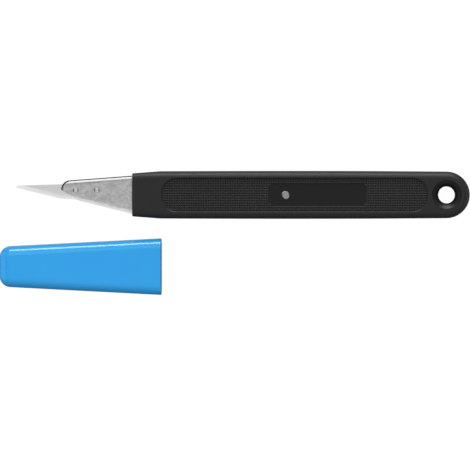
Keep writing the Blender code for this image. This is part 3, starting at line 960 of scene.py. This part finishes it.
# %% Model the head of the carrier
SHEET = 0.65 * MM
BACK_SLOPE = math.radians(4.3)
EDGE_SLOPE = math.radians(13.9)
CUT_SLOPE = math.radians(32)
BACK_INSET = 0.65 * MM
EDGE_INSET = 0.75 * MM
HEAD_FRONT_HEIGHT = 2.57 * MM
HEAD_FRONT_RADIUS = 2.5 * MM
LEAF_BEVEL_WIDTH = 1.25 * MM
LEAF_BEVEL_DEPTH = 0.45 * MM
FOLD_FLAT = 0.1 * MM
HEAD_FRONT = CARRIER_LOW.x - AXIS.x
HEAD_HALF = (CARRIER_HIGH.z - CARRIER_LOW.z) / 2
HEAD_BACK = NOSE_HEIGHT / 2 - BACK_INSET
HEAD_EDGE = EDGE_INSET - NOSE_HEIGHT / 2


def head_back(x):
    return HEAD_BACK + math.tan(BACK_SLOPE) * x


def slope_up(angle, side=1):
    """The direction out of a line that climbs to the right by this angle: above it, or below with -1."""
    return Vector((-math.sin(angle), math.cos(angle), 0)) * side


def grind(start, angle, width, half, edge_half):
    """Slices both flanks down to a thin lower edge, which runs through start and climbs by this angle."""
    outward = slope_up(angle, -1)
    for side in (1, -1):
        flank = outward * (half - edge_half) + Vector((0, 0, side * width))
        slice_off(start + Vector((0, 0, side * edge_half)), flank.normalized())


def carrier_head():
    cut_top = head_back(HEAD_FRONT) - HEAD_FRONT_HEIGHT
    low = on_knife(HEAD_FRONT, HEAD_EDGE, -HEAD_HALF)
    high = on_knife(-TANG_CLEARANCE, HEAD_BACK, HEAD_HALF)
    piece = block("folded_carrier", low, high)
    slice_off(on_knife(0, HEAD_BACK), slope_up(BACK_SLOPE))
    slice_off(on_knife(0, HEAD_EDGE), slope_up(-EDGE_SLOPE, -1))
    slice_off(on_knife(HEAD_FRONT, cut_top), slope_up(-CUT_SLOPE, -1))
    front_top = AXIS.y + cut_top + WELD
    pick(piece, "EDGE", lambda e: upright(e) and at(e, 0, low.x) and e.verts[0].co.y > front_top)
    bpy.ops.mesh.bevel(offset=HEAD_FRONT_RADIUS, segments=EDGE_STEPS, affect="EDGES")

    def on_fold(edge):
        level = at(edge, 2, edge.verts[0].co.z)
        above = all(vert.co.y > front_top - 2 * WELD for vert in edge.verts)
        return level and above and not at(edge, 0, high.x)

    pick(piece, "EDGE", on_fold)
    bpy.ops.mesh.bevel(offset=HEAD_HALF - FOLD_FLAT, segments=EDGE_STEPS, affect="EDGES")
    grind(on_knife(0, HEAD_EDGE), -EDGE_SLOPE, LEAF_BEVEL_WIDTH, HEAD_HALF, HEAD_HALF - LEAF_BEVEL_DEPTH)
    weld()
    return piece


carrier = carrier_head()
print("carrier head:", len(bmesh.from_edit_mesh(carrier.data).faces), "faces")

# %% [markdown]
# The sheet was tumbled to take its burrs off, so it has a cloudy satin with no direction. Along the back
# and round the front the steel is painted with a dark line, a painted dark reflection on the outer edge of
# the fold. The bend behind it is painted brighter as a painted highlight, and a faint dark line is painted
# where the bend ends, as painted shade. The lower strips were ground afterwards, and they are painted
# brighter towards the edge, partly for the ground finish and partly as a painted highlight. All of this
# follows the shape of the head, so the lines that shaped the head place it too.

# %% Steel for the carrier
# Widths and tones of painted light on the sheet: a dark reflection along the fold, a highlight on the bend,
# shade where it ends.
PAINTED_EDGE_LINE = 0.39 * MM
WIDER_IN_FRONT = 0.06
PAINTED_HIGHLIGHT_END = 0.85 * MM
BEND_END = 1.18 * MM
PAINTED_BEND_LINE = 0.15 * MM
BLUR = 0.06 * MM
SHEET_CLOUD_SIZE = 0.8 * MM
SHEET_CLOUD_STRETCH = (1.3, 1, 1)
SHEET_CLOUD_RANGE = (0.25, 0.75)
SHEET_TONE = 0.528
SHEET_CLOUD_TONE = 0.244
GRIND_AND_PAINTED_HIGHLIGHT_TONE = 0.45
PAINTED_EDGE_DARKNESS = 0.95
PAINTED_BEND_DARKNESS = 0.24
SHEET_TOOTH_SIZE = 0.12 * MM
SHEET_TOOTH_DEPTH = 0.006 * MM


def sheet_clouds_and_painted_light(place):
    x, y = place.axes()[:2]
    along, height = x - AXIS.x, y - AXIS.y
    from_back = HEAD_BACK + along * math.tan(BACK_SLOPE) - height
    from_front = along - HEAD_FRONT
    from_edge = height - HEAD_EDGE + along * math.tan(EDGE_SLOPE)
    over_back = place.math("MAXIMUM", HEAD_FRONT_RADIUS - from_back, 0)
    over_front = place.math("MAXIMUM", HEAD_FRONT_RADIUS - from_front, 0)
    from_corner = HEAD_FRONT_RADIUS - over_back.diagonal(over_front)
    clouds = place.grain(SHEET_CLOUD_SIZE, stretch=SHEET_CLOUD_STRETCH, detail=5.0)
    clouds = clouds.rise(*SHEET_CLOUD_RANGE)
    # The lower strips are brighter towards the edge, partly for the grinding and partly as a painted
    # highlight.
    ground = from_edge.rise(LEAF_BEVEL_WIDTH + BLUR, 0)
    # A painted dark reflection along the fold, a painted highlight on the bend and a painted shade line
    # where the bend ends.
    painted_edge_reflection = (from_corner - over_front * WIDER_IN_FRONT).rise(PAINTED_EDGE_LINE + BLUR, PAINTED_EDGE_LINE - BLUR)
    painted_light_area = from_back.rise(PAINTED_HIGHLIGHT_END + BLUR, PAINTED_HIGHLIGHT_END - BLUR)
    painted_bend_shade = abs(from_back - BEND_END).rise(PAINTED_BEND_LINE + BLUR, PAINTED_BEND_LINE - BLUR)
    bright = SHEET_TONE + clouds * SHEET_CLOUD_TONE + (ground + painted_light_area) * GRIND_AND_PAINTED_HIGHLIGHT_TONE
    return bright * (1 - painted_edge_reflection * PAINTED_EDGE_DARKNESS) * (1 - painted_bend_shade * PAINTED_BEND_DARKNESS)


tumbled = tooth(SHEET_TOOTH_SIZE, SHEET_TOOTH_DEPTH)
SHEET_STEEL = new_steel("sheet_steel", 0.04, 0.98, spots=sheet_clouds_and_painted_light, roughness=0.21, bump=tumbled)
print(SHEET_STEEL.name, len(SHEET_STEEL.node_tree.nodes), "nodes")

# %% [markdown]
# The gap for the blade is a slot up to the inside of the fold. A bent sheet with a Solidify modifier would
# have it from the start, but the outside is easier to slice while it is one block. So the gap is a block
# too, sliced along the fold and cut out. The tang is joined on behind, and the holes for the rivets go
# through both leaves.

# %% Open the gap, join the tang and drill the holes
BLADE_LOW, BLADE_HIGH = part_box("blade")
BLADE_CLEARANCE = 0.06 * MM
GAP_HALF = (BLADE_HIGH.z - BLADE_LOW.z) / 2 + BLADE_CLEARANCE
HEAD_SOLID = 2.0 * MM
RIVETS = ("front_blade_rivet", "rear_blade_rivet")
RIVET_SHANK = 0.55 * MM
RIVET_CLEARANCE = 0.06 * MM


def rivet_centre(node):
    low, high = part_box(node)
    return (low + high) / 2


def blade_gap():
    low = on_knife(HEAD_FRONT - CUT_MARGIN, HEAD_EDGE - CUT_MARGIN, -GAP_HALF)
    high = on_knife(-HEAD_SOLID, HEAD_BACK, GAP_HALF)
    tool = block("blade_gap", low, high)
    slice_off(on_knife(0, HEAD_BACK - SHEET / math.cos(BACK_SLOPE)), slope_up(BACK_SLOPE))
    return tool


combine(carrier, tang("tang", 0), "UNION")
combine(carrier, blade_gap())
for node in RIVETS:
    combine(carrier, hole_tool(rivet_centre(node), RIVET_SHANK + RIVET_CLEARANCE, HANDLE_SIZE.z))
combine(carrier, hole_tool(PIN_CENTRE, PIN_SIZE.x / 2 + PIN_CLEARANCE, HANDLE_SIZE.z))
finish(carrier, SHEET_STEEL, "knife", "blade_carrier")
light_only(fold_strip, carrier)

# %% [markdown]
# ## Blade
#
# The blade is flat steel with a small blunt tip. Its outline has no hollow, and neither do its ground
# flanks, so slicing a thin plate is nearly all it takes: the spine first, then the edge, then the flanks on
# both sides. The corners along the spine get a very small bevel, because a perfectly sharp corner never
# catches the light.

# %% Model the blade
SPINE_SLOPE = math.radians(1.7)
TIP_HEIGHT = 0.67 * MM
TIP_RADIUS = 0.25 * MM
TIP_TO_HEEL = 13.0 * MM
CUTTING_SLOPE = math.radians(13.8)
TAIL_SLOPE = math.radians(4.0)
GRIND_WIDTH = 1.25 * MM
CUTTING_EDGE = 0.06 * MM
SPINE_INSET = 0.34 * MM
SPINE_BEVEL = 0.05 * MM


def blade_plate():
    half = (BLADE_HIGH.z - BLADE_LOW.z) / 2
    spine = head_back(HEAD_FRONT) - SHEET / math.cos(BACK_SLOPE) - SPINE_INSET
    front = BLADE_LOW.x - AXIS.x
    top = on_knife(front, spine + math.tan(SPINE_SLOPE) * (front - HEAD_FRONT))
    tip = top - Vector((0, TIP_HEIGHT, 0))
    heel = tip + TIP_TO_HEEL * Vector((1, -math.tan(CUTTING_SLOPE), 0))
    piece = block("ground_blade", BLADE_LOW, BLADE_HIGH)
    slice_off(top, slope_up(SPINE_SLOPE))
    slice_off(tip, slope_up(-CUTTING_SLOPE, -1))
    slice_off(heel, slope_up(-TAIL_SLOPE, -1))
    pick(piece, "EDGE", lambda edge: upright(edge) and at(edge, 0, BLADE_LOW.x))
    bpy.ops.mesh.bevel(offset=TIP_RADIUS, segments=EDGE_STEPS, affect="EDGES")
    for side in (1, -1):
        corner = top + Vector((0, 0, side * (half - SPINE_BEVEL)))
        slice_off(corner, slope_up(SPINE_SLOPE) + Vector((0, 0, side)))
    grind(tip, -CUTTING_SLOPE, GRIND_WIDTH, half, CUTTING_EDGE / 2)
    grind(heel, -TAIL_SLOPE, GRIND_WIDTH, half, CUTTING_EDGE / 2)
    weld()
    return piece


blade = blade_plate()
for node in RIVETS:
    combine(blade, hole_tool(rivet_centre(node), RIVET_SHANK + RIVET_CLEARANCE, HANDLE_SIZE.z))
finish(blade, GROUND_STEEL, "knife", "blade")

# %% [markdown]
# ## Rivets and pin
#
# Two small rivets hold the blade between the leaves. Each is a shank with a low head at both ends, slightly
# domed by the hammer. Its rim, where a head meets the sheet, is painted darker as painted shade, so the
# steel gets darker the deeper it lies below the top of the head.

# %% Turn the rivets
DOME_STEPS = 9
DOME_SLOPE = math.radians(20)
# How deep below the top of a head the painted rim shade starts and is full, and how dark it gets.
RIM_SHADE_START = 0.02 * MM
RIM_SHADE_FULL = 0.10 * MM
RIVET_TONE = 0.80
RIVET_DENT_TONE = 0.25
RIM_PAINTED_SHADE = 0.45
RIVET_DENT_DEPTH = 0.004 * MM
RIVET_TOP = (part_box(RIVETS[0])[1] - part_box(RIVETS[0])[0]).z / 2


def dents_and_painted_rim_shade(place):
    depth = RIVET_TOP - abs(place.axes()[2] - AXIS.z)
    unshaded_tone = RIVET_TONE + dents(place) * RIVET_DENT_TONE
    # Painted shade: the steel is darker the deeper it lies below the top of the head.
    return unshaded_tone * (1 - depth.rise(RIM_SHADE_START, RIM_SHADE_FULL) * RIM_PAINTED_SHADE)


def blade_rivet(name, node):
    low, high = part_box(node)
    radius = (high.x - low.x) / 2
    sphere = radius / math.sin(DOME_SLOPE)
    turns = [DOME_SLOPE * step / DOME_STEPS for step in range(DOME_STEPS + 1)]
    dome = [(sphere * math.sin(turn), RIVET_TOP - sphere * (1 - math.cos(turn))) for turn in turns]
    seat = HEAD_HALF + RIVET_CLEARANCE
    return turned(name, both_ends(dome + [(radius, seat), (RIVET_SHANK, seat)]), rivet_centre(node))


hammered = tooth(DENT_SIZE, RIVET_DENT_DEPTH)
RIVET_STEEL = new_steel("rivet_steel", 0.0, 0.84, spots=dents_and_painted_rim_shade, roughness=0.16, bump=hammered)
for node in RIVETS:
    finish(blade_rivet(f"domed_{node}", node), RIVET_STEEL, "knife", node)

# %% [markdown]
# The pin that holds the tang ends level with the floor of the grip panels, with a slightly rounded rim and
# a punch mark in the middle. It is turned too.

# %% Turn the pin
PIN_RIM = 0.1 * MM
PUNCH_RADIUS = 0.4 * MM
PUNCH_DEPTH = 0.15 * MM


def tang_pin():
    top = PIN_SIZE.z / 2
    radius = PIN_SIZE.x / 2
    rim = [(radius - PIN_RIM, top), (radius - PIN_RIM / 3, top - PIN_RIM / 3), (radius, top - PIN_RIM)]
    punch = [(0, top - PUNCH_DEPTH), (PUNCH_RADIUS, top)]
    return turned("tang_pin", both_ends(punch + rim), PIN_CENTRE)


finish(tang_pin(), PIN_STEEL, "knife", "tang_rivet")

# %% [markdown]
# ## Cap
#
# The cap is a thin shell that tapers towards its closed end and lies on its own flat side. A box is scaled
# down at one end and rounded everywhere but at the mouth. The mouth is then opened, and Solidify gives the
# shell its wall. Because the box tapers, it would touch the floor with one edge only, so it is tilted by
# half its taper.

# %% Model the cap
CAP_LOW, CAP_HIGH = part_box("cap")
CAP_LENGTH = 48.199 * MM
CAP_MOUTH = Vector((16.86, 9.799)) * MM
CAP_END = Vector((11.9, 7.6)) * MM
CAP_WALL = 1.25 * MM
CAP_EDGE_RADIUS = 3.2 * MM
CAP_STEPS = 12
CAP_MOUTH_SETBACK = 8.65 * MM
MOUTH_ROUNDING = 0.12 * MM


def cap_shell():
    draft = math.atan2((CAP_MOUTH.y - CAP_END.y) / 2, CAP_LENGTH)
    height = math.cos(draft) * CAP_MOUTH.y / 2
    centre = Vector((HANDLE_LOW.x + CAP_MOUTH_SETBACK, (CAP_LOW.y + CAP_HIGH.y) / 2, height))
    half = Vector((0, CAP_MOUTH.x / 2, CAP_MOUTH.y / 2))
    end = centre - Vector((CAP_LENGTH, 0, 0))
    piece = block("pull_off_cap", end - half, centre + half)
    pick(piece, "FACE", lambda face: at(face, 0, end.x))
    taper = (1, CAP_END.x / CAP_MOUTH.x, CAP_END.y / CAP_MOUTH.y)
    bpy.ops.transform.resize(value=taper, center_override=end)
    pick(piece, "EDGE", lambda edge: not at(edge, 0, centre.x))
    bpy.ops.mesh.bevel(offset=CAP_EDGE_RADIUS, segments=CAP_STEPS, affect="EDGES")
    pick(piece, "FACE", lambda face: at(face, 0, centre.x))
    bpy.ops.mesh.delete(type="ONLY_FACE")
    bpy.ops.mesh.select_all(action="SELECT")
    bpy.ops.transform.rotate(value=draft, orient_axis="Y", center_override=centre)
    weld()
    modify(piece, "SOLIDIFY", thickness=CAP_WALL, offset=-1, use_even_offset=True)
    modify(piece, "BEVEL", width=MOUTH_ROUNDING, segments=2, limit_method="ANGLE", angle_limit=math.pi / 3)
    return piece


cap = cap_shell()
finish(cap, BLUE_MOULDING, "cap", "cap")
light_only(cap_strip, cap)
light_only(overhead_lamp, cap)
print("the cap's solid, in mm:", [tuple(round(c / MM, 2) for c in corner) for corner in (CAP_LOW, CAP_HIGH)])
